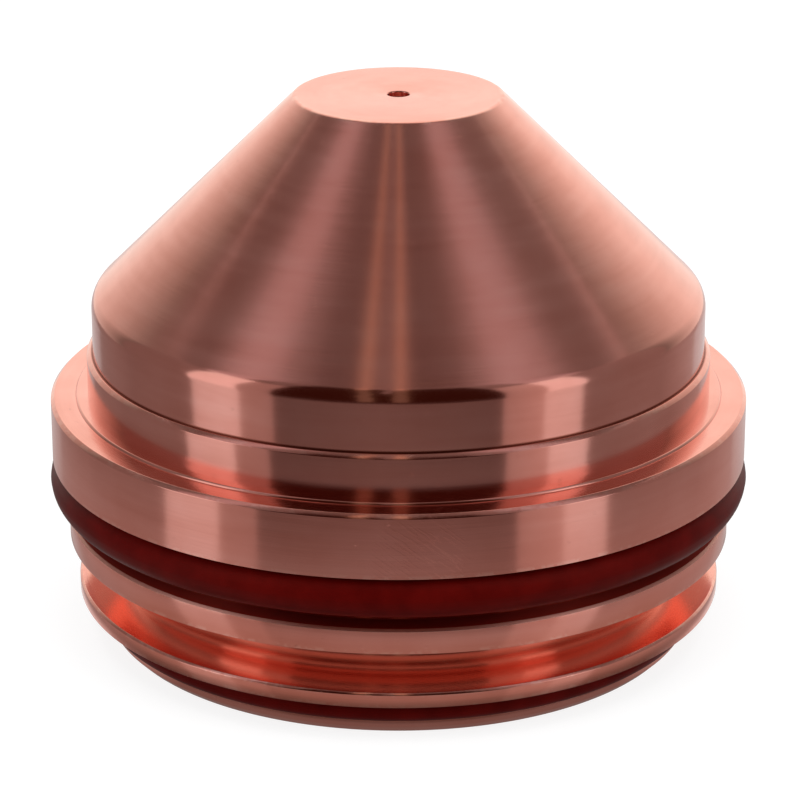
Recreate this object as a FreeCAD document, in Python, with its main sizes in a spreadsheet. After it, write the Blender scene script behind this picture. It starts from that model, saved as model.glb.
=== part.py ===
import FreeCAD, Part
import os
import re
import Sketcher

# Plasma torch nozzle: a copper body turned from one bar, and the two seals that it carries.
# Millimetres and degrees. The nozzle's axis is Z, its rear face lies at Z = 0 and its tip is on top.

# Driving sizes
SIZES = {
    # heights of the turned bands, from the rear face up
    "lip_height": 0.68,
    "rear_gland_height": 1.31,
    "rear_land_height": 0.73,
    "neck_height": 2.15,
    "front_land_height": 1.22,
    "front_gland_height": 2.78,
    "flange_height": 3.11,
    "seat_height": 2.16,
    "collar_height": 2.68,
    # radius of the flange, and the steps down from it to the bands on either side
    "flange_radius": 17.00,
    "flange_ledge": 1.81,
    "collar_step": 0.30,
    "front_land_step": 0.74,
    "rear_land_step": 0.41,
    "lip_step": 1.40,
    "neck_depth": 2.95,
    # tip and cone
    "tip_radius": 5.00,
    "cone_half_angle": 45.0,
    # low step at the foot of the seat, where the facing cut across the flange ends
    "foot_width": 0.60,
    "foot_height": 0.10,
    # broken and rounded edges
    "lip_chamfer": 0.35,
    "land_chamfer": 0.10,
    "flange_chamfer": 0.18,
    "foot_chamfer": 0.09,
    "seat_chamfer": 0.18,
    "shoulder_fillet": 1.00,
    "tip_fillet": 0.25,
    # cavity, from the rear face in and from the tip back
    "neck_wall": 1.50,
    "counterbore_depth": 4.40,
    "bore_step": 2.40,
    "bore_chamfer": 0.40,
    "plenum_half_angle": 40.0,
    "chamber_radius": 4.60,
    "chamber_length": 1.80,
    "throat_half_angle": 60.0,
    "orifice_diameter": 1.05,
    "orifice_length": 3.20,
    "orifice_mouth_diameter": 1.15,
    # seals
    "front_seal_section": 2.15,
    "front_seal_proud": 0.13,
    "rear_seal_section": 1.10,
    "rear_seal_proud": 0.52,
    "seal_seat": 0.02,
}

# Bands of the outside, from the rear face up
BANDS = (
    "lip",
    "rear_gland",
    "rear_land",
    "neck",
    "front_land",
    "front_gland",
    "flange",
    "seat",
    "collar",
)

TOLERANCE = 1e-5

doc = FreeCAD.newDocument("PlasmaNozzle")
sheet = doc.addObject("Spreadsheet::Sheet", "Sizes")
for row, (name, size) in enumerate(SIZES.items(), start=1):
    sheet.set(f"A{row}", name)
    sheet.set(f"B{row}", str(size))
    sheet.setAlias(f"B{row}", name)
doc.recompute()


def in_sheet(formula):
    """Turn the size names in a formula into references to the sheet."""

    def refer(match):
        word = match.group()
        return f"Sizes.{word}" if word in SIZES else word

    return re.sub(r"[a-z_]+", refer, formula)


def worth(formula):
    """What a formula of size names comes to, in millimetres."""
    return float(sheet.evalExpression(in_sheet(formula)))


# Radii of the bands and of the cavity, as formulas
SEAT_RADIUS = "(flange_radius - flange_ledge)"
COLLAR_RADIUS = "(flange_radius - flange_ledge - collar_step)"
FRONT_LAND_RADIUS = "(flange_radius - front_land_step)"
REAR_LAND_RADIUS = "(flange_radius - front_land_step - rear_land_step)"
LIP_RADIUS = f"({REAR_LAND_RADIUS} - lip_step)"
NECK_RADIUS = f"({REAR_LAND_RADIUS} - neck_depth)"
COUNTERBORE_RADIUS = f"({NECK_RADIUS} - neck_wall)"
BORE_RADIUS = f"({COUNTERBORE_RADIUS} - bore_step)"
FOOT_RADIUS = f"({SEAT_RADIUS} + foot_width)"

# The neck is cut with a full-radius tool, so its root is round almost from flank to flank
NECK_ROOT_FILLET = "neck_height * 0.49"

# Heights above the rear face, as formulas: the top of each band, then the tip
TOP = {}
level = "0"
for band in BANDS:
    level = f"{level} + {band}_height"
    TOP[band] = level
TOP["cone"] = f"{level} + ({COLLAR_RADIUS} - tip_radius) / tan(cone_half_angle)"

FOOT_TOP = f"{TOP['flange']} + foot_height"

# Levels of the cavity, worked back from the tip
THROAT_TOP = f"{TOP['cone']} - orifice_length"
THROAT_BASE = f"{THROAT_TOP} - (chamber_radius - orifice_diameter / 2) / tan(throat_half_angle)"
THROAT_APEX = f"{THROAT_BASE} + chamber_radius / tan(throat_half_angle)"
CHAMBER_BASE = f"{THROAT_BASE} - chamber_length"
BORE_TOP = f"{CHAMBER_BASE} - ({BORE_RADIUS} - chamber_radius) / tan(plenum_half_angle)"

# Circle of each seal's section, and the root of the gland that it sits on
FRONT_SEAL_RADIUS = "flange_radius + front_seal_proud - front_seal_section / 2"
FRONT_SEAL_HEIGHT = f"{TOP['front_gland']} - seal_seat - front_seal_section / 2"
FRONT_ROOT_RADIUS = f"{FRONT_SEAL_RADIUS} - front_seal_section / 2 - seal_seat"
REAR_SEAL_RADIUS = f"{LIP_RADIUS} + rear_seal_proud - rear_seal_section / 2"
REAR_SEAL_HEIGHT = f"{TOP['lip']} + seal_seat + rear_seal_section / 2"
REAR_ROOT_RADIUS = f"{REAR_SEAL_RADIUS} - rear_seal_section / 2 - seal_seat"


def origin_plane(body, role):
    """The body's own origin plane of that role."""
    return next(item for item in body.Origin.OriginFeatures if item.Role == role)


def section_sketch(body, name):
    """An empty sketch in the plane through the axis: across is the radius, up is the height."""
    sketch = body.newObject("Sketcher::SketchObject", name)
    sketch.AttachmentSupport = [(origin_plane(body, "XZ_Plane"), "")]
    sketch.MapMode = "FlatFace"
    return sketch


def tie_point(sketch, geometry, point, radius, height):
    """Tie a point of the sketch to its radius and height formulas."""
    places = (("DistanceX", radius, -2), ("DistanceY", height, -1))
    for kind, formula, axis in places:
        if formula == "0":
            sketch.addConstraint(Sketcher.Constraint("PointOnObject", geometry, point, axis))
            continue
        number = sketch.addConstraint(Sketcher.Constraint(kind, -1, 1, geometry, point, worth(formula)))
        label = f"{kind}_{geometry}"
        sketch.renameConstraint(number, label)
        sketch.setExpression(f"Constraints.{label}", in_sheet(formula))


def draw_outline(sketch, corners):
    """Close a chain of straight lines through corners, each a radius and a height formula."""
    points = [FreeCAD.Vector(worth(radius), worth(height), 0) for radius, height in corners]
    for start, end in zip(points, points[1:] + points[:1]):
        sketch.addGeometry(Part.LineSegment(start, end))
    count = len(corners)
    for line in range(count):
        following = (line + 1) % count
        sketch.addConstraint(Sketcher.Constraint("Coincident", line, 2, following, 1))
    for line, (radius, height) in enumerate(corners):
        tie_point(sketch, line, 1, radius, height)


def turn(body, kind, name, sketch):
    """Turn a sketch all the way round the axis, to add material or to cut it."""
    feature = body.newObject(f"PartDesign::{kind}", name)
    feature.Profile = sketch
    feature.ReferenceAxis = (sketch, ["V_Axis"])
    feature.Angle = 360
    return feature


def cut_groove(body, name, root, low, high, outside="flange_radius"):
    """Cut a square groove between two heights, down to a root radius."""
    sketch = section_sketch(body, f"{name}Section")
    draw_outline(sketch, [(root, low), (outside, low), (outside, high), (root, high)])
    return turn(body, "Groove", name, sketch)


def ring_edges(feature, radius, height):
    """Names of the feature's circular edges that have this radius at this height."""
    names = []
    for number, edge in enumerate(feature.Shape.Edges, start=1):
        curve = edge.Curve
        if not isinstance(curve, Part.Circle):
            continue
        same_radius = abs(curve.Radius - worth(radius)) < TOLERANCE
        if same_radius and abs(curve.Center.z - worth(height)) < TOLERANCE:
            names.append(f"Edge{number}")
    if not names:
        raise RuntimeError(f"no edge of radius {radius} at height {height}")
    return names


def dress_edges(body, kind, name, size, rings):
    """Chamfer or round the circular edges given as radius and height formulas."""
    doc.recompute()
    base = body.Tip
    names = [edge for radius, height in rings for edge in ring_edges(base, radius, height)]
    feature = body.newObject(f"PartDesign::{kind}", name)
    feature.Base = (base, names)
    feature.setExpression("Size" if kind == "Chamfer" else "Radius", in_sheet(size))
    return feature


# Nozzle body

def turn_blank(body):
    """The bar turned to the steps of the outside, before any groove is cut."""
    sketch = section_sketch(body, "BlankSection")
    draw_outline(sketch, [
        ("0", "0"),
        (LIP_RADIUS, "0"),
        (LIP_RADIUS, TOP["rear_gland"]),
        (REAR_LAND_RADIUS, TOP["rear_gland"]),
        (REAR_LAND_RADIUS, TOP["rear_land"]),
        (FRONT_LAND_RADIUS, TOP["rear_land"]),
        (FRONT_LAND_RADIUS, TOP["front_gland"]),
        ("flange_radius", TOP["front_gland"]),
        ("flange_radius", TOP["flange"]),
        (FOOT_RADIUS, TOP["flange"]),
        (FOOT_RADIUS, FOOT_TOP),
        (SEAT_RADIUS, FOOT_TOP),
        (SEAT_RADIUS, TOP["seat"]),
        (COLLAR_RADIUS, TOP["seat"]),
        (COLLAR_RADIUS, TOP["collar"]),
        ("tip_radius", TOP["cone"]),
        ("0", TOP["cone"]),
    ])
    return turn(body, "Revolution", "Blank", sketch)


def cut_cavity(body):
    """Counterbore, bore, plenum taper, chamber and the cone that leads into the orifice."""
    sketch = section_sketch(body, "CavitySection")
    draw_outline(sketch, [
        ("0", "0"),
        (COUNTERBORE_RADIUS, "0"),
        (COUNTERBORE_RADIUS, "counterbore_depth"),
        (BORE_RADIUS, "counterbore_depth"),
        (BORE_RADIUS, BORE_TOP),
        ("chamber_radius", CHAMBER_BASE),
        ("chamber_radius", THROAT_BASE),
        ("0", THROAT_APEX),
    ])
    return turn(body, "Groove", "Cavity", sketch)


def drill_orifice(body):
    """The arc's orifice, drilled from the tip face with its mouth just broken."""
    sketch = body.newObject("Sketcher::SketchObject", "OrificeCentre")
    sketch.AttachmentSupport = [(origin_plane(body, "XY_Plane"), "")]
    sketch.MapMode = "FlatFace"
    sketch.setExpression(".AttachmentOffset.Base.z", in_sheet(TOP["cone"]))
    centre = FreeCAD.Vector(0, 0, 0)
    upward = FreeCAD.Vector(0, 0, 1)
    sketch.addGeometry(Part.Circle(centre, upward, worth("orifice_diameter / 2")))
    sketch.addConstraint(Sketcher.Constraint("Coincident", 0, 3, -1, 1))
    number = sketch.addConstraint(Sketcher.Constraint("Diameter", 0, worth("orifice_diameter")))
    sketch.renameConstraint(number, "Drill")
    sketch.setExpression("Constraints.Drill", in_sheet("orifice_diameter"))
    doc.recompute()
    hole = body.newObject("PartDesign::Hole", "Orifice")
    hole.Profile = sketch
    doc.recompute()
    hole.DepthType = "ThroughAll"
    hole.HoleCutType = "Countersink"
    hole.HoleCutCountersinkAngle = 90
    hole.setExpression("Diameter", in_sheet("orifice_diameter"))
    hole.setExpression("HoleCutDiameter", in_sheet("orifice_mouth_diameter"))
    return hole


def make_nozzle_body():
    """The one turned piece, in the order of its operations."""
    body = doc.addObject("PartDesign::Body", "nozzle_body")
    body.Label = "nozzle_body"
    turn_blank(body)
    cuts = [
        lambda: cut_groove(body, "RearGland", REAR_ROOT_RADIUS, TOP["lip"], TOP["rear_gland"]),
        lambda: cut_groove(body, "Neck", NECK_RADIUS, TOP["rear_land"], TOP["neck"]),
        lambda: cut_groove(body, "FrontGland", FRONT_ROOT_RADIUS, TOP["front_land"], TOP["front_gland"]),
        lambda: cut_cavity(body),
        lambda: drill_orifice(body),
    ]
    doc.recompute()
    for cut in cuts:
        before = body.Tip.Shape.Volume
        feature = cut()
        doc.recompute()
        if feature.Shape.Volume >= before:
            raise RuntimeError(f"{feature.Label} removes nothing")
    dress_edges(body, "Fillet", "Shoulder", "shoulder_fillet", [(COLLAR_RADIUS, TOP["collar"])])
    dress_edges(body, "Fillet", "TipEdge", "tip_fillet", [("tip_radius", TOP["cone"])])
    dress_edges(body, "Fillet", "NeckRoot", NECK_ROOT_FILLET, [
        (NECK_RADIUS, TOP["rear_land"]),
        (NECK_RADIUS, TOP["neck"]),
    ])
    dress_edges(body, "Chamfer", "LipEdge", "lip_chamfer", [(LIP_RADIUS, "0")])
    dress_edges(body, "Chamfer", "LandEdges", "land_chamfer", [
        (REAR_LAND_RADIUS, TOP["rear_land"]),
        (FRONT_LAND_RADIUS, TOP["front_land"]),
    ])
    dress_edges(body, "Chamfer", "FlangeEdge", "flange_chamfer", [("flange_radius", TOP["flange"])])
    dress_edges(body, "Chamfer", "FootEdge", "foot_chamfer", [(FOOT_RADIUS, FOOT_TOP)])
    dress_edges(body, "Chamfer", "SeatEdge", "seat_chamfer", [(SEAT_RADIUS, TOP["seat"])])
    dress_edges(body, "Chamfer", "BoreMouths", "bore_chamfer", [
        (COUNTERBORE_RADIUS, "0"),
        (BORE_RADIUS, "counterbore_depth"),
    ])
    return body


# Seals

def make_seal(label, radius, height, section):
    """A round-section rubber ring, turned from the circle of its section."""
    body = doc.addObject("PartDesign::Body", label)
    body.Label = label
    sketch = section_sketch(body, "SealSection")
    centre = FreeCAD.Vector(worth(radius), worth(height), 0)
    sketch.addGeometry(Part.Circle(centre, FreeCAD.Vector(0, 0, 1), worth(section) / 2))
    tie_point(sketch, 0, 3, radius, height)
    number = sketch.addConstraint(Sketcher.Constraint("Diameter", 0, worth(section)))
    sketch.renameConstraint(number, "Section")
    sketch.setExpression("Constraints.Section", in_sheet(section))
    turn(body, "Revolution", "Ring", sketch)
    return body


bodies = [
    make_nozzle_body(),
    make_seal("front_o_ring", FRONT_SEAL_RADIUS, FRONT_SEAL_HEIGHT, "front_seal_section"),
    make_seal("rear_o_ring", REAR_SEAL_RADIUS, REAR_SEAL_HEIGHT, "rear_seal_section"),
]
doc.recompute()

# Every feature has to be sound before anything is written
for item in doc.Objects:
    if "Invalid" in item.State or "Error" in item.State:
        raise RuntimeError(f"{item.Label} failed: {item.State}")
for body in bodies:
    if body.Shape.isNull() or not body.Shape.isValid():
        raise RuntimeError(f"{body.Label} has no valid shape")

os.makedirs("parts", exist_ok=True)
for body in bodies:
    body.Shape.exportStep(f"parts/{body.Label}.step")
    box = body.Shape.optimalBoundingBox(False)
    print(f"{body.Label}: {body.Shape.Volume:.1f} mm3, {box.XLength:.2f} mm wide,"
          f" Z {box.ZMin:.2f} to {box.ZMax:.2f}")
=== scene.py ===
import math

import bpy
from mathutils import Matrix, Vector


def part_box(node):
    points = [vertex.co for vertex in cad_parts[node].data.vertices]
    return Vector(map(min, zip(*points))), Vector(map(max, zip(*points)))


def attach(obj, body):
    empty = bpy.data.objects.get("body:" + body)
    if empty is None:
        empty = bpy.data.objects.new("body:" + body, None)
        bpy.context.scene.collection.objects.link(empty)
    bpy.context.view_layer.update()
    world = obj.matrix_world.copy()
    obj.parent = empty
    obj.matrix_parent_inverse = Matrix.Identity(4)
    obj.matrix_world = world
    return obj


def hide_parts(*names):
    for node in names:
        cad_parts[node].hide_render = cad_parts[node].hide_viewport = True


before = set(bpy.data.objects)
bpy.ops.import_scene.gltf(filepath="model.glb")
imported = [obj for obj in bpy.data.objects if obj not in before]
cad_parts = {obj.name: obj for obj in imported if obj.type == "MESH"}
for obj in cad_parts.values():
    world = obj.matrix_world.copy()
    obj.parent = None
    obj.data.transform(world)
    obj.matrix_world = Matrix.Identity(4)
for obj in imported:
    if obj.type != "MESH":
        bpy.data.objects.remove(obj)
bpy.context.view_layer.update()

# %% [markdown]
# A plasma torch nozzle is a cone of turned copper with two dark red rubber seals. It is small, 34 mm
# across, and nearly all of its look comes from what its surface mirrors. So this lesson spends its cells
# on three things: a very smooth copy of the turned form, a copper finish that blurs reflections the way
# turned metal does, and a studio whose cards the metal can show.

MM = 0.001

# %% [markdown]
# The camera comes first, because every later cell is judged through it. The photograph looks down by
# about 20 degrees from close by. The fitted values put the lens 170 mm from a point on the axis, 11 mm
# above the base. The lens is a long one, so the far side of a rim hardly shrinks.

# %% Camera
LOOK_DOWN = math.radians(20.39)
CAMERA_DISTANCE = 170.3 * MM
AIM_HEIGHT = 11.16 * MM
AXIS_OFFSET = 0.074 * MM
LENS = 155.88
SENSOR_WIDTH = 36.0
NEAR_CLIP = 0.01
FAR_CLIP = 10.0

camera_data = bpy.data.cameras.new("studio_camera")
camera_data.lens = LENS
camera_data.sensor_width = SENSOR_WIDTH
camera_data.clip_start = NEAR_CLIP
camera_data.clip_end = FAR_CLIP
camera = bpy.data.objects.new("studio_camera", camera_data)
bpy.context.scene.collection.objects.link(camera)
camera.location = (
    AXIS_OFFSET,
    -CAMERA_DISTANCE * math.cos(LOOK_DOWN),
    AIM_HEIGHT + CAMERA_DISTANCE * math.sin(LOOK_DOWN),
)
camera.rotation_euler = (math.pi / 2 - LOOK_DOWN, 0, 0)
bpy.context.scene.camera = camera
print("camera at", [round(value / MM, 1) for value in camera.location], "mm")

# %% [markdown]
# Edit-mode operators act on everything that is selected, so each step starts from a known state. These
# helpers make one object active, pick its vertices, edges or faces by a test on their place, and count
# the triangles of what was made.

# %% Helpers for edit mode
def active_only(piece):
    """Make one object the only selected and active one."""
    bpy.ops.object.select_all(action="DESELECT")
    piece.select_set(True)
    bpy.context.view_layer.objects.active = piece


def select_in(piece, domain, chosen):
    """Enter edit mode with only the vertices, edges or faces that pass the test selected."""
    active_only(piece)
    bpy.ops.object.mode_set(mode="EDIT")
    bpy.ops.mesh.select_mode(type=domain)
    bpy.ops.mesh.select_all(action="DESELECT")
    bpy.ops.object.mode_set(mode="OBJECT")
    mesh = piece.data
    parts = {"VERT": mesh.vertices, "EDGE": mesh.edges, "FACE": mesh.polygons}[domain]
    for part in parts:
        part.select = bool(chosen(part))
    bpy.ops.object.mode_set(mode="EDIT")


def count_triangles(piece):
    """Triangles of a finished mesh."""
    return sum(len(face.vertices) - 2 for face in piece.data.polygons)

# %% [markdown]
# The real body is turned from one bar, so its whole outside and inside are one outline that goes round
# the axis. The frame's solid has that form as loose triangles. They are right in size, but metal this
# glossy shows every facet. A turned piece can be made again from its own section: a copy of the solid is
# cut through the axis and its outline is cleaned. The form stays the solid's own.

# %% Copy a solid
def copy_of_solid(node, name):
    """A free copy of a frame node's mesh, with no parent and no marks of its own."""
    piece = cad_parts[node].copy()
    piece.data = piece.data.copy()
    piece.name = name
    piece.data.name = name
    bpy.context.scene.collection.objects.link(piece)
    piece.parent = None
    for key in list(piece.keys()):
        del piece[key]
    return piece


body_piece = copy_of_solid("nozzle_body", "copper_body")
print(body_piece.name, "starts with", count_triangles(body_piece), "triangles")

# %% [markdown]
# Two bisect cuts leave the half of the section that lies on the +X side. The first cut keeps only what
# lies in the plane, the second takes away the other half. Points that lie on a straight line are then
# dissolved, so that only the real corners and the points of the arcs are left.

# %% Cut the copy through its axis
MERGE = 0.0005 * MM
ON_PLANE = 0.00005 * MM
STRAIGHT = math.radians(0.4)


def keep_half_section(piece):
    """Leave the outline of the cut through the axis, on the +X side, as one flat face."""
    active_only(piece)
    bpy.ops.object.mode_set(mode="EDIT")
    bpy.ops.mesh.select_mode(type="VERT")
    bpy.ops.mesh.select_all(action="SELECT")
    bpy.ops.mesh.customdata_custom_splitnormals_clear()
    bpy.ops.mesh.remove_doubles(threshold=MERGE)
    bpy.ops.mesh.bisect(
        plane_co=(0, 0, 0),
        plane_no=(0, 1, 0),
        clear_inner=True,
        clear_outer=True,
        threshold=ON_PLANE,
    )
    bpy.ops.mesh.select_all(action="SELECT")
    bpy.ops.mesh.bisect(plane_co=(0, 0, 0), plane_no=(1, 0, 0), clear_inner=True, threshold=ON_PLANE)
    bpy.ops.mesh.select_all(action="SELECT")
    bpy.ops.mesh.remove_doubles(threshold=MERGE)
    bpy.ops.mesh.dissolve_limited(angle_limit=STRAIGHT)
    bpy.ops.mesh.select_all(action="SELECT")
    bpy.ops.mesh.edge_face_add()
    bpy.ops.object.mode_set(mode="OBJECT")
    print(piece.name, "section:", len(piece.data.vertices), "corners,", len(piece.data.polygons), "face")


keep_half_section(body_piece)

# %% [markdown]
# No turned edge is perfectly sharp. The lathe's chamfers are in the solid already, and each outer
# corner is rounded a little more here, by two hundredths of a millimetre. That thin round draws the
# fine line of light along every edge. On a flat section it is a bevel of its corner points. Inner
# corners stay sharp, as the tool leaves them, so the shading beside them stays flat.

# %% Round the section's outer corners
EDGE_ROUND = 0.018 * MM
ROUND_STEPS = 3
CORNER = math.radians(20)
ROOM = 2.2


def round_corners(piece, width, steps):
    """Bevel each sharp outer corner of a flat section whose sides have room for it."""
    ring = list(piece.data.polygons[0].vertices)
    place = [piece.data.vertices[index].co for index in ring]
    count = len(ring)
    area = sum(place[i - 1].x * place[i].z - place[i].x * place[i - 1].z for i in range(count))
    sharp = set()
    for i in range(count):
        before = place[i] - place[i - 1]
        after = place[(i + 1) % count] - place[i]
        outward = (before.x * after.z - after.x * before.z) * area > 0
        shorter = min(before.length, after.length)
        if outward and before.angle(after) > CORNER and shorter > ROOM * width:
            sharp.add(ring[i])
    select_in(piece, "VERT", lambda vertex: vertex.index in sharp)
    bpy.ops.mesh.bevel(offset=width, offset_type="OFFSET", segments=steps, affect="VERTICES")
    bpy.ops.object.mode_set(mode="OBJECT")
    print(piece.name, "rounded", len(sharp), "corners")


round_corners(body_piece, EDGE_ROUND, ROUND_STEPS)

# %% [markdown]
# The spin tool now does what the lathe did. The face is dropped and only its outline goes round, because
# a face carried along would close the inside. A full turn ends where it began, so its doubles are merged
# and the normals are pointed outwards again. Weighted normals keep the wide faces flat and leave all
# of the bending to the narrow rounds, which is how a mirror-like edge reads.

# %% Spin the outline
BODY_STEPS = 480
SMOOTH_BELOW = math.radians(50)
WIDE_FACE_WEIGHT = 95


def spin_round(piece, steps):
    """Spin a section's outline a full turn round the axis, and close and smooth the surface."""
    active_only(piece)
    bpy.ops.object.mode_set(mode="EDIT")
    bpy.ops.mesh.select_mode(type="FACE")
    bpy.ops.mesh.select_all(action="SELECT")
    bpy.ops.mesh.delete(type="ONLY_FACE")
    bpy.ops.mesh.select_mode(type="VERT")
    bpy.ops.mesh.select_all(action="SELECT")
    bpy.ops.mesh.spin(steps=steps, angle=2 * math.pi, center=(0, 0, 0), axis=(0, 0, 1))
    bpy.ops.mesh.select_all(action="SELECT")
    bpy.ops.mesh.remove_doubles(threshold=MERGE)
    bpy.ops.mesh.normals_make_consistent(inside=False)
    bpy.ops.object.mode_set(mode="OBJECT")
    bpy.ops.object.shade_smooth_by_angle(angle=SMOOTH_BELOW)
    weights = piece.modifiers.new("face_weights", "WEIGHTED_NORMAL")
    weights.keep_sharp = True
    weights.weight = WIDE_FACE_WEIGHT
    bpy.ops.object.modifier_apply(modifier=weights.name)
    print(piece.name, "has", count_triangles(piece), "triangles")


spin_round(body_piece, BODY_STEPS)
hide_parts("nozzle_body")
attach(body_piece, "root")

# %% [markdown]
# The two seals are moulded rubber rings. Their sections are plain circles, so a fine torus is the start.
# A mould leaves a thin raised line where its halves meet, along the outer and the inner middle of the
# ring. One loop of vertices at each is pushed out a little, which makes that line real geometry.

# %% Seals
FLASH = 0.012 * MM
SLACK = 0.0005 * MM
RING_STEPS = 320
SECTION_STEPS = 72


def raise_mould_line(piece, reach, level, height):
    """Push the one loop of vertices at this reach from the axis out or in by the line's height."""
    def on_line(vertex):
        place = vertex.co
        return abs(place.z - level) < SLACK and abs(math.hypot(place.x, place.y) - reach) < SLACK

    select_in(piece, "VERT", on_line)
    grow = 1 + height / reach
    bpy.ops.transform.resize(value=(grow, grow, 1), center_override=(0, 0, level))
    bpy.ops.object.mode_set(mode="OBJECT")


def seal_ring(node, name):
    """A moulded ring as large as the solid it stands for, with its fine mould line."""
    low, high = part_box(node)
    half = (high.z - low.z) / 2
    level = (high.z + low.z) / 2
    rim = min(high.x, high.y, -low.x, -low.y) - SLACK
    bpy.ops.object.select_all(action="DESELECT")
    bpy.ops.mesh.primitive_torus_add(
        align="WORLD",
        location=(0, 0, 0),
        major_segments=RING_STEPS,
        minor_segments=SECTION_STEPS,
        major_radius=rim - half,
        minor_radius=half - FLASH,
    )
    piece = bpy.context.object
    piece.name = name
    piece.data.name = name
    select_in(piece, "VERT", lambda vertex: True)
    bpy.ops.transform.translate(value=(0, 0, level))
    bpy.ops.object.mode_set(mode="OBJECT")
    raise_mould_line(piece, rim - FLASH, level, FLASH)
    raise_mould_line(piece, rim - 2 * half + FLASH, level, -FLASH)
    active_only(piece)
    bpy.ops.object.shade_smooth()
    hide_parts(node)
    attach(piece, "root")
    print(name, "section", round(2 * half / MM, 2), "mm,", count_triangles(piece), "triangles")
    return piece


front_seal = seal_ring("front_o_ring", "front_seal")
rear_seal = seal_ring("rear_o_ring", "rear_seal")

# %% [markdown]
# Materials are built from nodes. These helpers keep the graphs short: each adds one kind of node, sets
# or links its inputs, and hands back the socket that the next step needs.

# %% Helpers for node graphs
def new_material(name):
    """An empty node material and its tree."""
    material = bpy.data.materials.new(name)
    material.use_nodes = True
    material.node_tree.nodes.clear()
    return material, material.node_tree


def add_node(tree, kind, inputs=None, **settings):
    """Add a node, set its properties, and set or link its inputs by name or number."""
    node = tree.nodes.new(kind)
    for key, value in settings.items():
        setattr(node, key, value)
    for key, value in (inputs or {}).items():
        if isinstance(value, bpy.types.NodeSocket):
            tree.links.new(value, node.inputs[key])
        else:
            node.inputs[key].default_value = value
    return node


def maths(tree, operation, first, second=0.0, third=0.0):
    """One maths step; each value is a number or a socket."""
    return add_node(tree, "ShaderNodeMath", {0: first, 1: second, 2: third}, operation=operation).outputs[0]


def fade(tree, value, start, end, first=0.0, last=1.0):
    """Run evenly from the first number to the last while the value goes from start to end."""
    limits = {"Value": value, "From Min": start, "From Max": end, "To Min": first, "To Max": last}
    return add_node(tree, "ShaderNodeMapRange", limits).outputs[0]


def noise(tree, vector, scale, detail, roughness=0.5):
    """Soft noise between zero and one."""
    inputs = {"Vector": vector, "Scale": scale, "Detail": detail, "Roughness": roughness}
    return add_node(tree, "ShaderNodeTexNoise", inputs).outputs["Fac"]


def ramp(tree, factor, stops):
    """A colour ramp with (position, colour) stops: its two ends first, then what lies between."""
    node = add_node(tree, "ShaderNodeValToRGB", {"Fac": factor})
    elements = node.color_ramp.elements
    elements[0].position, elements[0].color = stops[0][0], (*stops[0][1], 1)
    elements[1].position, elements[1].color = stops[1][0], (*stops[1][1], 1)
    for position, colour in stops[2:]:
        elements.new(position).color = (*colour, 1)
    return node.outputs["Color"]


def mix_colour(tree, factor, first, second):
    """Blend two colours, each a value or a socket."""
    inputs = {"Fac": factor, "Color1": first, "Color2": second}
    return add_node(tree, "ShaderNodeMixRGB", inputs).outputs["Color"]


def bump(tree, height, strength, depth, below=None):
    """Relief of a given depth, laid over the relief below it if there is one."""
    inputs = {"Strength": strength, "Distance": depth, "Height": height}
    if below is not None:
        inputs["Normal"] = below
    return add_node(tree, "ShaderNodeBump", inputs).outputs[0]

# %% [markdown]
# Turned copper is covered with fine grooves that run round the axis. An image could be wrapped round the
# piece, but it would show a seam and stretch on the cone. So the pattern lives in radius and height
# instead of X and Y: it runs round the cone, round the walls and in rings on the flat faces, and a slow
# drift by direction keeps one groove from looking the same all the way round.

# %% Patterns that run round the axis
GROOVE_PITCH = 0.11
GROOVE_DRIFT = 3.0
GROOVE_DETAIL = 2.0
STREAK_PITCH = 0.9
STREAK_DRIFT = 1.5
STREAK_DETAIL = 3.0
RING_ROUGHNESS = 0.55


def lathe_space(tree):
    """Place in millimetres, radius, height, and the direction from the axis as a cosine and a sine."""
    place = add_node(tree, "ShaderNodeTexCoord").outputs["Object"]
    in_mm = add_node(tree, "ShaderNodeVectorMath", {0: place, "Scale": 1 / MM}, operation="SCALE").outputs[0]
    parts = add_node(tree, "ShaderNodeSeparateXYZ", {0: in_mm}).outputs
    flat = add_node(tree, "ShaderNodeCombineXYZ", {0: parts[0], 1: parts[1]}).outputs[0]
    radius = add_node(tree, "ShaderNodeVectorMath", {0: flat}, operation="LENGTH").outputs["Value"]
    cosine = maths(tree, "DIVIDE", parts[0], radius)
    sine = maths(tree, "DIVIDE", parts[1], radius)
    return in_mm, radius, parts[2], cosine, sine


def ring_noise(tree, space, pitch, drift, detail):
    """Noise that changes every pitch mm across the grooves and only drift times round the circle."""
    in_mm, radius, height, cosine, sine = space
    across = maths(tree, "DIVIDE", radius, pitch)
    along = maths(tree, "DIVIDE", height, pitch)
    third = maths(tree, "MULTIPLY", cosine, drift)
    fourth = maths(tree, "MULTIPLY", sine, drift)
    vector = add_node(tree, "ShaderNodeCombineXYZ", {0: across, 1: along, 2: third}).outputs[0]
    inputs = {
        "Vector": vector,
        "W": fourth,
        "Scale": 1.0,
        "Detail": detail,
        "Roughness": RING_ROUGHNESS,
    }
    return add_node(tree, "ShaderNodeTexNoise", inputs, noise_dimensions="4D").outputs["Fac"]


print("grooves every", GROOVE_PITCH, "mm, streaks every", STREAK_PITCH, "mm")
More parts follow.
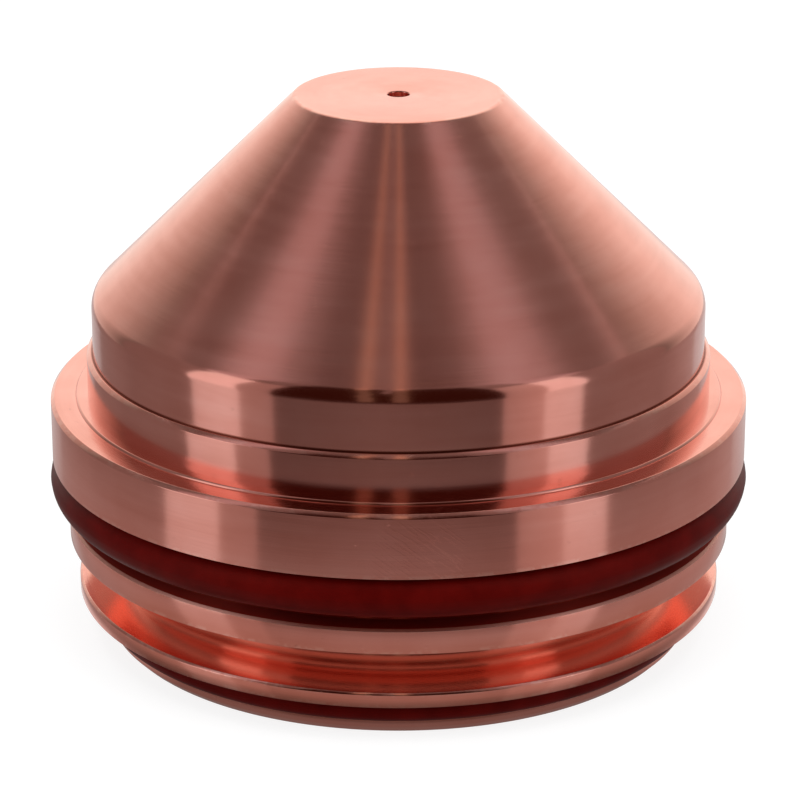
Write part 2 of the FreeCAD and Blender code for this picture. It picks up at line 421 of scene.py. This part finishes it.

# %% [markdown]
# Some finishes and some painted light belong to one place on the body. The neck is polished. The gland's
# lower wall is dull, and painted red: a painted reflection of the seal that lies over it. The edge beside
# that wall is rough and painted brighter, a painted highlight. The corner between collar and seat is
# painted dark, a painted shade. The outer edges are brighter in patches, partly from wear and partly as a
# painted highlight along each edge. Painting them would need a picture. Here each is a mask made of
# radius and height, so it follows the turned form exactly.

# %% Places on the body, in millimetres
NECK_RADII = (12.5, 15.5)
NECK_HEIGHTS = (2.70, 4.89)
GLAND_WALL_RADII = (15.0, 16.14)
GLAND_WALL_HEIGHTS = (6.06, 6.12)
# painted highlight: the edge beside the gland wall is painted brighter, and it is rougher
ROUGH_HIGHLIGHT_EDGE_RADII = (16.14, 16.30)
ROUGH_HIGHLIGHT_EDGE_HEIGHTS = (5.98, 6.12)
CONE_FOOT = 17.1
# painted shade: the corner between collar and seat is darkened where shade falls
SHADED_CORNERS = [(14.89, 14.14)]
CORNER_SHADE_REACH = 0.12
# outer edges brightened in patches: partly wear, partly a painted highlight along each edge
WORN_AND_HIGHLIT_EDGES = [
    (17.0, 11.98),
    (17.0, 8.87),
    (16.26, 6.09),
    (16.26, 4.87),
    (15.85, 2.72),
    (15.85, 1.99),
    (15.19, 14.14),
    (5.0, 26.71),
]
WEAR_AND_HIGHLIGHT_REACH = 0.22
FULL_SHARE = 0.4


def band(tree, value, limits):
    """One between two values and zero outside them."""
    above = maths(tree, "GREATER_THAN", value, limits[0])
    return maths(tree, "MULTIPLY", above, maths(tree, "LESS_THAN", value, limits[1]))


def turned_zone(tree, space, radii, heights):
    """One on a band of the turned form and zero elsewhere."""
    return maths(tree, "MULTIPLY", band(tree, space[1], radii), band(tree, space[2], heights))


def near_corners(tree, space, corners, reach):
    """A soft mask round the circles of the given corners, each as (radius, height)."""
    flat = add_node(tree, "ShaderNodeCombineXYZ", {0: space[1], 1: space[2]}).outputs[0]
    nearest = None
    for radius, height in corners:
        places = {0: flat, 1: (radius, height, 0)}
        away = add_node(tree, "ShaderNodeVectorMath", places, operation="DISTANCE").outputs["Value"]
        nearest = away if nearest is None else maths(tree, "MINIMUM", nearest, away)
    return fade(tree, nearest, FULL_SHARE * reach, reach, 1.0, 0.0)


print(len(WORN_AND_HIGHLIT_EDGES), "edges can be worn")

# %% [markdown]
# The front of the flange carries one patch of fine slanting scratches, from a tool or a box that it was
# dragged over. Noise that is stretched along the slant and cut to its peaks gives separate scratches,
# and the patch fades out with its distance from one point.

# %% Scuffs on the flange
SCUFF_PLACE = (1.0, -16.9, 9.8)
SCUFF_FULL = 0.8
SCUFF_END = 2.5
SCUFF_CUT = 0.56
SCUFF_FINENESS = 7.0
SCUFF_STRETCH = 0.6
SCUFF_LINES = {"scale": 1.0, "detail": 2.0}
ACROSS_SLANT = (0.75, 0.95)
ALONG_SLANT = (0.75, -0.75)


def scuffs(tree, space):
    """One on each scratch of the patch and zero elsewhere."""
    side = add_node(tree, "ShaderNodeSeparateXYZ", {0: space[0]}).outputs[0]
    across, along = [
        maths(tree, "MULTIPLY_ADD", side, sideways, maths(tree, "MULTIPLY", space[2], upwards))
        for sideways, upwards in (ACROSS_SLANT, ALONG_SLANT)
    ]
    fine = maths(tree, "MULTIPLY", across, SCUFF_FINENESS)
    long = maths(tree, "MULTIPLY", along, SCUFF_STRETCH)
    stretched = add_node(tree, "ShaderNodeCombineXYZ", {0: fine, 1: long}).outputs[0]
    lines = maths(tree, "GREATER_THAN", noise(tree, stretched, **SCUFF_LINES), SCUFF_CUT)
    away = add_node(tree, "ShaderNodeVectorMath", {0: space[0], 1: SCUFF_PLACE}, operation="DISTANCE")
    patch = fade(tree, away.outputs["Value"], SCUFF_FULL, SCUFF_END, 1.0, 0.0)
    return maths(tree, "MULTIPLY", lines, patch)


print("scuffs reach", SCUFF_END, "mm from", SCUFF_PLACE)

# %% [markdown]
# Clean copper isn't one colour. It darkens a little in slow clouds and in streaks left by the tool. On
# top of that base come the places of the last cells, each mixed in by its mask.

# %% Colours of the copper
COPPER_DARK = (0.83, 0.335, 0.266)
COPPER = (0.90, 0.39, 0.32)
COPPER_PALE = (0.95, 0.445, 0.374)
NECK_COPPER = (0.95, 0.42, 0.33, 1.0)
# painted shade colour for the corner between collar and seat
PAINTED_CORNER_SHADE = (0.36, 0.11, 0.075, 1.0)
# painted highlight colour for edges, also mixed with their wear
EDGE_HIGHLIGHT_COPPER = (0.96, 0.52, 0.44, 1.0)
# painted reflection of the red seal on the gland's lower wall
SEAL_REFLECTION_RED = (0.62, 0.070, 0.050, 1.0)
CLOUDS = {"scale": 0.22, "detail": 3.0, "roughness": 0.6}
CLOUD_SHARE = 0.5
DARK_AT = 0.33
COPPER_AT = 0.50
PALE_AT = 0.67
WORN_AND_HIGHLIT_ABOVE = 0.52
WORN_AND_HIGHLIT_SHARE = 0.6


def copper_colour(tree, space, streaks, patches, zones):
    """The base colour with clouds, streaks and the polished neck, a painted shade in one corner, a painted
    reflection on the gland wall, and painted highlights on worn and rough edges.
    """
    cloud = maths(tree, "MULTIPLY", noise(tree, space[0], **CLOUDS), CLOUD_SHARE)
    tone = maths(tree, "ADD", maths(tree, "MULTIPLY", streaks, 1 - CLOUD_SHARE), cloud)
    stops = [(DARK_AT, COPPER_DARK), (PALE_AT, COPPER_PALE), (COPPER_AT, COPPER)]
    colour = ramp(tree, tone, stops)
    colour = mix_colour(tree, zones["neck"], colour, NECK_COPPER)
    # painted shade in the corner between collar and seat
    colour = mix_colour(tree, zones["corner_shade"], colour, PAINTED_CORNER_SHADE)
    # patches of wear and painted highlight along the outer edges
    worn_and_highlit = near_corners(tree, space, WORN_AND_HIGHLIT_EDGES, WEAR_AND_HIGHLIGHT_REACH)
    worn_and_highlit = maths(tree, "MULTIPLY", worn_and_highlit, maths(tree, "GREATER_THAN", patches, WORN_AND_HIGHLIT_ABOVE))
    colour = mix_colour(tree, maths(tree, "MULTIPLY", worn_and_highlit, WORN_AND_HIGHLIT_SHARE), colour, EDGE_HIGHLIGHT_COPPER)
    # painted reflection: the gland's lower wall is painted red for the seal mirrored in it; its roughness is
    # its own
    colour = mix_colour(tree, zones["gland_wall"], colour, SEAL_REFLECTION_RED)
    # painted highlight on the rough edge beside the gland wall
    return mix_colour(tree, zones["rough_highlight_edge"], colour, EDGE_HIGHLIGHT_COPPER)


print("copper reflects", COPPER)

# %% [markdown]
# The grooves blur a reflection along the profile and leave it sharp round the circle, which is why the
# piece shows crisp upright stripes. Real grooves that fine can't be modelled. The shader's anisotropy
# does that blur, with its tangent turned to follow the profile. The roughness changes by place, and the
# grooves, dents and scratches that the eye can see are fine relief on top.

# %% Turned copper
ROUGHNESS = 0.12
STREAK_ROUGHNESS = 0.06
ZONE_ROUGHNESS = {"neck": 0.015, "cone": 0.035, "corner_shade": 0.25, "gland_wall": 0.40, "rough_highlight_edge": 0.40}
ANISOTROPY = 0.80
QUARTER_TURN = 0.25
PATCHES = {"scale": 1.4, "detail": 4.0, "roughness": 0.7}
GROOVE_DEPTH = 0.004 * MM
DENT_DEPTH = 0.02 * MM
SCUFF_DEPTH = 0.01 * MM
RELIEF_STRENGTH = 0.5
SCUFF_STRENGTH = 0.35
DENT_PLACES = {"Scale": 1.1, "Randomness": 1.0}
DENT_SIZE = 0.10
DENTS_ABOVE = 0.50


def copper_relief(tree, space, grooves, patches):
    """Grooves, small dents in patches, and the scuffs."""
    specks = add_node(tree, "ShaderNodeTexVoronoi", {"Vector": space[0], **DENT_PLACES})
    dents = maths(tree, "LESS_THAN", specks.outputs["Distance"], DENT_SIZE)
    dents = maths(tree, "MULTIPLY", dents, maths(tree, "GREATER_THAN", patches, DENTS_ABOVE))
    relief = bump(tree, grooves, RELIEF_STRENGTH, GROOVE_DEPTH)
    relief = bump(tree, dents, RELIEF_STRENGTH, -DENT_DEPTH, relief)
    return bump(tree, scuffs(tree, space), SCUFF_STRENGTH, SCUFF_DEPTH, relief)


def turned_copper():
    """The finish of the nozzle body."""
    material, tree = new_material("turned_copper")
    space = lathe_space(tree)
    grooves = ring_noise(tree, space, GROOVE_PITCH, GROOVE_DRIFT, GROOVE_DETAIL)
    streaks = ring_noise(tree, space, STREAK_PITCH, STREAK_DRIFT, STREAK_DETAIL)
    patches = noise(tree, space[0], **PATCHES)
    zones = {
        "neck": turned_zone(tree, space, NECK_RADII, NECK_HEIGHTS),
        "cone": maths(tree, "GREATER_THAN", space[2], CONE_FOOT),
        "corner_shade": near_corners(tree, space, SHADED_CORNERS, CORNER_SHADE_REACH),
        "gland_wall": turned_zone(tree, space, GLAND_WALL_RADII, GLAND_WALL_HEIGHTS),
        "rough_highlight_edge": turned_zone(tree, space, ROUGH_HIGHLIGHT_EDGE_RADII, ROUGH_HIGHLIGHT_EDGE_HEIGHTS),
    }
    roughness = maths(tree, "MULTIPLY_ADD", streaks, STREAK_ROUGHNESS, ROUGHNESS)
    for name, more in ZONE_ROUGHNESS.items():
        roughness = maths(tree, "MULTIPLY_ADD", zones[name], more, roughness)
    tangent = add_node(tree, "ShaderNodeTangent", direction_type="RADIAL", axis="Z")
    shader = add_node(
        tree,
        "ShaderNodeBsdfPrincipled",
        {
            "Base Color": copper_colour(tree, space, streaks, patches, zones),
            "Metallic": 1.0,
            "Roughness": roughness,
            "Anisotropic": ANISOTROPY,
            "Anisotropic Rotation": QUARTER_TURN,
            "Normal": copper_relief(tree, space, grooves, patches),
            "Tangent": tangent.outputs[0],
        },
    )
    add_node(tree, "ShaderNodeOutputMaterial", {"Surface": shader.outputs[0]})
    return material


def dress(piece, material):
    """Give a piece one material and nothing else."""
    piece.data.materials.clear()
    piece.data.materials.append(material)


copper_material = turned_copper()
dress(body_piece, copper_material)
print("copper graph has", len(copper_material.node_tree.nodes), "nodes")

# %% [markdown]
# The seals are a dark maroon rubber with a soft, dull sheen. The lower side of the front seal, where it
# lies over its gland's wall, is painted a paler red: painted light in place of the light thrown up under
# it. A very fine grain keeps the rubber from looking like plastic, and a low, reddish specular keeps the
# white room off it.

# %% Seal rubber
RUBBER_DARK = (0.060, 0.0009, 0.0007)
RUBBER_PALE = (0.080, 0.0014, 0.0010)
# painted light for the lower side of the front seal
PAINTED_UNDERSIDE_RED = (0.20, 0.016, 0.012, 1.0)
UNDERSIDE_LIGHT_NONE_AT = 7.1
UNDERSIDE_LIGHT_FULL_AT = 6.6
FRONT_SEAL_ABOVE = 4.87
RUBBER_CLOUDS = {"scale": 0.8, "detail": 3.0}
RUBBER_GRAIN = {"scale": 14.0, "detail": 2.0}
RUBBER_DARK_AT = 0.35
RUBBER_PALE_AT = 0.65
RUBBER_ROUGHNESS = 0.34
CLOUD_ROUGHNESS = 0.12
GRAIN_DEPTH = 0.004 * MM
GRAIN_STRENGTH = 0.25
RUBBER_SHINE = 0.10
SHINE_TINT = (1.0, 0.30, 0.24, 1.0)


def seal_rubber():
    """The finish of both rings."""
    material, tree = new_material("seal_rubber")
    in_mm, radius, height = lathe_space(tree)[:3]
    cloud = noise(tree, in_mm, **RUBBER_CLOUDS)
    grain = noise(tree, in_mm, **RUBBER_GRAIN)
    colour = ramp(tree, cloud, [(RUBBER_DARK_AT, RUBBER_DARK), (RUBBER_PALE_AT, RUBBER_PALE)])
    # painted light: the front seal's lower side is painted paler red
    underside_light = fade(tree, height, UNDERSIDE_LIGHT_NONE_AT, UNDERSIDE_LIGHT_FULL_AT)
    underside_light = maths(tree, "MULTIPLY", underside_light, maths(tree, "GREATER_THAN", height, FRONT_SEAL_ABOVE))
    shader = add_node(
        tree,
        "ShaderNodeBsdfPrincipled",
        {
            "Base Color": mix_colour(tree, underside_light, colour, PAINTED_UNDERSIDE_RED),
            "Roughness": maths(tree, "MULTIPLY_ADD", cloud, CLOUD_ROUGHNESS, RUBBER_ROUGHNESS),
            "Normal": bump(tree, grain, GRAIN_STRENGTH, GRAIN_DEPTH),
            "Specular IOR Level": RUBBER_SHINE,
            "Specular Tint": SHINE_TINT,
        },
    )
    add_node(tree, "ShaderNodeOutputMaterial", {"Surface": shader.outputs[0]})
    return material


rubber_material = seal_rubber()
for ring in (front_seal, rear_seal):
    dress(ring, rubber_material)
print("rubber graph has", len(rubber_material.node_tree.nodes), "nodes")

# %% [markdown]
# A metal piece is only as good as its surroundings. A white room alone would make the copper one flat
# peach tone, so a photographer stands grey, black and white cards round it, outside the picture. Here
# each card is an upright rectangle at a bearing from the camera's own direction, with the tone that the
# metal shows. Cards are seen by reflections only: they don't show in the picture or change the light.

# %% A card for the metal to mirror
CARD_DISTANCE = 0.60
CARD_OVERLAP = 0.3
WARM = (1.0, 0.84, 0.80)


def card_material(name, first_tone, last_tone, tint):
    """A card whose tone runs evenly from one side to the other."""
    material, tree = new_material(name)
    across = add_node(tree, "ShaderNodeTexCoord").outputs["UV"]
    side = add_node(tree, "ShaderNodeSeparateXYZ", {0: across}).outputs[0]
    tone = maths(tree, "MULTIPLY_ADD", side, last_tone - first_tone, first_tone)
    glow = add_node(tree, "ShaderNodeEmission", {"Color": (*tint, 1), "Strength": tone})
    add_node(tree, "ShaderNodeOutputMaterial", {"Surface": glow.outputs[0]})
    return material


def reflections_only(piece):
    """Keep a card out of the picture and out of the light."""
    piece.visible_camera = False
    piece.visible_diffuse = False
    piece.visible_shadow = False
    piece.visible_transmission = False


def card(name, bearings, elevations, tones, tint=WARM, distance=CARD_DISTANCE):
    """An upright card between two bearings and two elevations, in degrees, as seen from the nozzle."""
    middle = math.radians((bearings[0] + bearings[1]) / 2)
    half = math.radians((bearings[1] - bearings[0]) / 2 + CARD_OVERLAP)
    bottom = distance * math.tan(math.radians(elevations[0]))
    top = distance * math.tan(math.radians(elevations[1]))
    bpy.ops.object.select_all(action="DESELECT")
    bpy.ops.mesh.primitive_plane_add(
        size=1,
        location=(
            distance * math.sin(middle),
            -distance * math.cos(middle),
            AIM_HEIGHT + (bottom + top) / 2,
        ),
        rotation=(math.pi / 2, 0, middle),
    )
    piece = bpy.context.object
    piece.name = name
    piece.scale = (2 * distance * math.tan(half), top - bottom, 1)
    piece.data.materials.append(card_material(name, tones[0], tones[1], tint))
    reflections_only(piece)

# %% [markdown]
# The upright walls mirror what stands below the lens's height, the shoulder what stands level with it,
# and the cone what stands high above it. So each bearing has its cards for the walls, for the round
# shoulder and for the cone, and cards that overlap stand at slightly different distances. The front
# ones are dim, because the photographer's own side of the studio is dark.

# %% Cards in front
WALLS = (-75, -9)
ROUND = (-9, 64)
CONE = (40, 76)
SECOND_ROW = 0.62
THIRD_ROW = 0.63
FOURTH_ROW = 0.635
LAST_ROW = 0.64
DARK_RED = (1.0, 0.25, 0.14)

card("front_low_left", (-46, -6), WALLS, (0.125, 0.170))
card("front_low_right", (-6, 38.2), WALLS, (0.170, 0.130))
card("front_dark_left", (-46, -6), ROUND, (0.03, 0.03), DARK_RED)
card("front_dark_right", (-6, 38.2), ROUND, (0.03, 0.03), DARK_RED)
card("front_high_left", (-68, -20), CONE, (0.185, 0.155), distance=LAST_ROW)
card("front_high_middle", (-20, 9), CONE, (0.23, 0.20), distance=FOURTH_ROW)
card("front_high_right", (9, 56), CONE, (0.140, 0.225), distance=LAST_ROW)
print("front cards stand", CARD_DISTANCE, "m from the axis")

# %% [markdown]
# On each side a bright card gives the wide pale stripe that stands on every wall and on the cone, a
# dimmer one softens its inner edge, and a grey one behind it keeps the metal from going flat. The two
# sides aren't the same, because the real room isn't.

# %% Cards at the sides and behind
LOWER = (-75, 40)
LOW_ROUND = (-9, 40)
UPPER = (-9, 76)
NEUTRAL = (1.0, 1.0, 1.0)
ROSE = (1.0, 0.89, 0.94)
CREAM = (1.0, 0.97, 0.89)

card("left_dim", (-59, -46), LOWER, (0.37, 0.35))
card("left_bright", (-80, -59), WALLS, (0.66, 0.74), NEUTRAL)
card("left_bright_up", (-80, -59), LOW_ROUND, (0.88, 0.96), NEUTRAL)
card("left_high", (-89, -68), CONE, (0.46, 0.52), ROSE, THIRD_ROW)
card("left_mid", (-118, -80), LOWER, (0.21, 0.22), distance=SECOND_ROW)
card("left_mid_high", (-118, -89), CONE, (0.16, 0.16))
card("left_far_low", (-146, -118), WALLS, (0.28, 0.22))
card("left_edge_low", (-182, -146), WALLS, (0.85, 0.38), NEUTRAL)
card("left_far", (-150, -118), UPPER, (0.92, 0.16), CREAM)
card("left_back", (-182, -150), UPPER, (1.18, 0.95), CREAM)
card("right_dim", (38.2, 54), LOWER, (0.38, 0.54))
card("right_bright", (54, 70), WALLS, (0.76, 0.70), NEUTRAL)
card("right_bright_up", (54, 70), LOW_ROUND, (0.96, 0.88), NEUTRAL)
card("right_high", (56, 83), CONE, (0.48, 0.42), ROSE, THIRD_ROW)
card("right_mid", (70, 112), LOWER, (0.21, 0.26), distance=SECOND_ROW)
card("right_mid_high", (83, 112), CONE, (0.17, 0.16))
card("right_far_low", (112, 142), WALLS, (0.25, 0.42))
card("right_edge_low", (142, 182), WALLS, (0.50, 0.85), NEUTRAL)
card("right_far", (112, 144), UPPER, (0.18, 1.00), CREAM)
card("right_back", (144, 182), UPPER, (1.00, 1.18), CREAM)
print("side and back cards stand up to", THIRD_ROW, "m from the axis")

# %% [markdown]
# Two thin golden lines run down the middle of the cone and cross the shoulder. They are the gaps between
# the front cards, where a warm lamp shines through. Each gap is a row of narrow cards, one above the
# other. Their bearings change with height, because the cone and the shoulder bend one straight line in
# different ways, and the real lines look straight.

# %% Slits between the front cards
GOLD = (1.0, 0.74, 0.55)
SLIT_DISTANCE = 0.58
SLIT_BEARINGS = {
    "slit_left": [-11.5, -12.8, -14.8, -18.0, -21.0, -21.5],
    "slit_right": [0.8, 0.9, 1.0, 1.1, 1.3, 1.4],
}
SLIT_ELEVATIONS = [(-2, 20), (20, 40), (40, 52), (52, 61), (61, 69.2), (69.2, 76)]
SLIT_TONES = [0.17, 0.17, 0.17, 0.20, 0.62, 0.38]
SLIT_HALF_WIDTHS = [2.4, 2.4, 2.4, 2.8, 3.2, 3.4]

for side_name, bearings in SLIT_BEARINGS.items():
    for step, bearing in enumerate(bearings):
        half_width = SLIT_HALF_WIDTHS[step]
        tone = SLIT_TONES[step]
        edges = (bearing - half_width, bearing + half_width)
        name = side_name + "_" + str(step)
        card(name, edges, SLIT_ELEVATIONS[step], (tone, tone), GOLD, SLIT_DISTANCE)
print(len(SLIT_BEARINGS), "slits of", len(SLIT_ELEVATIONS), "cards each")

# %% [markdown]
# The ceiling is a card too. It has the warm grey that the front of the cone shows near its tip, and it
# hangs far above the others, so that it hides none of them from the metal.

# %% Ceiling card
CEILING_SIZE = 1.3
CEILING_HEIGHT = 2.6
CEILING_TONE = 0.17

bpy.ops.object.select_all(action="DESELECT")
bpy.ops.mesh.primitive_plane_add(size=CEILING_SIZE, location=(0, 0, CEILING_HEIGHT))
overhead = bpy.context.object
overhead.name = "overhead"
overhead.data.materials.append(card_material("overhead", CEILING_TONE, CEILING_TONE, WARM))
reflections_only(overhead)
print("ceiling card hangs at", CEILING_HEIGHT, "m")

# %% [markdown]
# The low walls of the nozzle look down at the table round its foot, which is lit by light that the
# copper itself throws down. A faint disc of light under the floor gives them that. Its sides are brighter
# than its front, as in the photograph. It lets part of the cards' light through, so the upright stripes
# stay, and it fades out well inside the picture.

# %% Glow round the foot
ROUND_SIDES = 96
GLOW_REACH = 50.0 * MM
GLOW_BELOW = 0.1 * MM
FRONT_ENDS_AT = -10.0 * MM
SIDES_BEGIN_AT = -4.0 * MM
BLACK = (0.0, 0.0, 0.0)
HALF_CLEAR = (0.35, 0.35, 0.35)
CLEAR = (1.0, 1.0, 1.0)
FRONT_GLOW = [
    (0.28, (0.20, 0.17, 0.16)),
    (0.92, BLACK),
    (0.32, (0.20, 0.17, 0.16)),
    (0.345, (0.06, 0.04, 0.035)),
    (0.38, (0.16, 0.12, 0.10)),
    (0.42, (0.29, 0.21, 0.175)),
    (0.57, (0.31, 0.255, 0.24)),
    (0.70, (0.21, 0.17, 0.16)),
]
SIDE_GLOW = [
    (0.28, (0.20, 0.17, 0.16)),
    (0.92, BLACK),
    (0.33, (0.95, 0.90, 0.88)),
    (0.35, (0.62, 0.56, 0.54)),
    (0.37, (0.27, 0.23, 0.22)),
    (0.57, (0.31, 0.255, 0.24)),
    (0.70, (0.21, 0.17, 0.16)),
]
GLOW_CLEARNESS = [(0.33, BLACK), (0.92, CLEAR), (0.42, HALF_CLEAR), (0.60, HALF_CLEAR)]


def foot_glow():
    """A disc that only mirrors see: dim under the nozzle, warm round its foot, clear further out."""
    bpy.ops.object.select_all(action="DESELECT")
    bpy.ops.mesh.primitive_circle_add(
        vertices=ROUND_SIDES,
        radius=GLOW_REACH,
        fill_type="NGON",
        location=(0, 0, -GLOW_BELOW),
    )
    disc = bpy.context.object
    disc.name = "foot_glow"
    material, tree = new_material("foot_glow")
    place = add_node(tree, "ShaderNodeTexCoord").outputs["Object"]
    reach = add_node(tree, "ShaderNodeVectorMath", {0: place}, operation="LENGTH").outputs["Value"]
    part = maths(tree, "DIVIDE", reach, GLOW_REACH)
    depth = add_node(tree, "ShaderNodeSeparateXYZ", {0: place}).outputs[1]
    to_sides = fade(tree, depth, FRONT_ENDS_AT, SIDES_BEGIN_AT)
    light = mix_colour(tree, to_sides, ramp(tree, part, FRONT_GLOW), ramp(tree, part, SIDE_GLOW))
    glow = add_node(tree, "ShaderNodeEmission", {"Color": light})
    through = add_node(tree, "ShaderNodeBsdfTransparent", {"Color": ramp(tree, part, GLOW_CLEARNESS)})
    both = add_node(tree, "ShaderNodeAddShader", {0: glow.outputs[0], 1: through.outputs[0]})
    add_node(tree, "ShaderNodeOutputMaterial", {"Surface": both.outputs[0]})
    disc.data.materials.append(material)
    reflections_only(disc)


foot_glow()
print("glow reaches", round(GLOW_REACH / MM), "mm from the axis")

# %% [markdown]
# The floor is plain and pale, and it has to keep the nozzle's soft shadow while it meets a white
# background without an edge. Its material is a matt surface with a little light of its own. The camera
# and mirrors see the full level, so open floor comes out white and shaded floor stays grey. Matt
# surfaces get about half of it, which is the light that a real table throws up at the seals.

# %% Floor
FLOOR_RADIUS = 2.5
FLOOR_TONE = 0.24
FLOOR_GLOW = 0.82
FLOOR_BOUNCE = 0.45


def full_when_seen(tree, seen_level, matt_level):
    """One level for the camera, mirrors and glass, and another for matt surfaces."""
    path = add_node(tree, "ShaderNodeLightPath").outputs
    seen = maths(tree, "MAXIMUM", path["Is Camera Ray"], path["Is Glossy Ray"])
    seen = maths(tree, "MAXIMUM", seen, path["Is Transmission Ray"])
    return maths(tree, "MULTIPLY_ADD", seen, seen_level - matt_level, matt_level)


def pale_floor():
    """A round floor far larger than the picture."""
    bpy.ops.object.select_all(action="DESELECT")
    bpy.ops.mesh.primitive_circle_add(
        vertices=ROUND_SIDES,
        radius=FLOOR_RADIUS,
        fill_type="NGON",
        location=(0, 0, 0),
    )
    floor = bpy.context.object
    floor.name = "floor"
    material, tree = new_material("pale_floor")
    matt = add_node(tree, "ShaderNodeBsdfDiffuse", {"Color": (FLOOR_TONE, FLOOR_TONE, FLOOR_TONE, 1)})
    level = full_when_seen(tree, FLOOR_GLOW, FLOOR_BOUNCE)
    glow = add_node(tree, "ShaderNodeEmission", {"Strength": level})
    both = add_node(tree, "ShaderNodeAddShader", {0: matt.outputs[0], 1: glow.outputs[0]})
    add_node(tree, "ShaderNodeOutputMaterial", {"Surface": both.outputs[0]})
    floor.data.materials.append(material)
    floor.visible_glossy = False


pale_floor()
print("floor reaches", FLOOR_RADIUS, "m from the axis")

# %% [markdown]
# Light for the matt surfaces comes from the room and from three broad lamps. The room is white to the
# eye, to mirrors and to glass. The lamps are kept out of the reflections, where the cards do their work.

# %% Room and lamps
ROOM_SEEN = 1.0
ROOM_MATT = 0.5
LAMPS = {
    "lamp_over": ((0.0, -0.1, 0.9), 0.9, 5.0),
    "lamp_left": ((-0.7, -0.5, 0.5), 0.6, 3.0),
    "lamp_right": ((0.7, -0.4, 0.5), 0.6, 3.0),
}


def studio_room():
    """A white room with a calmer level for matt surfaces."""
    world = bpy.data.worlds.new("studio_room")
    bpy.context.scene.world = world
    world.use_nodes = True
    tree = world.node_tree
    tree.nodes.clear()
    level = full_when_seen(tree, ROOM_SEEN, ROOM_MATT)
    back = add_node(tree, "ShaderNodeBackground", {"Color": (1, 1, 1, 1), "Strength": level})
    add_node(tree, "ShaderNodeOutputWorld", {"Surface": back.outputs[0]})


def area_lamp(name, place, size, power):
    """A square lamp aimed at the nozzle's middle and not seen in reflections."""
    data = bpy.data.lights.new(name, "AREA")
    data.shape = "SQUARE"
    data.size = size
    data.energy = power
    lamp = bpy.data.objects.new(name, data)
    bpy.context.scene.collection.objects.link(lamp)
    lamp.location = place
    aim = Vector((0, 0, AIM_HEIGHT)) - Vector(place)
    lamp.rotation_euler = aim.to_track_quat("-Z", "Y").to_euler()
    lamp.visible_glossy = False


studio_room()
for name, (place, size, power) in LAMPS.items():
    area_lamp(name, place, size, power)
print(len(LAMPS), "lamps")

# %% [markdown]
# The Standard view shows colours about as they are written.

bpy.context.scene.view_settings.view_transform = "Standard"
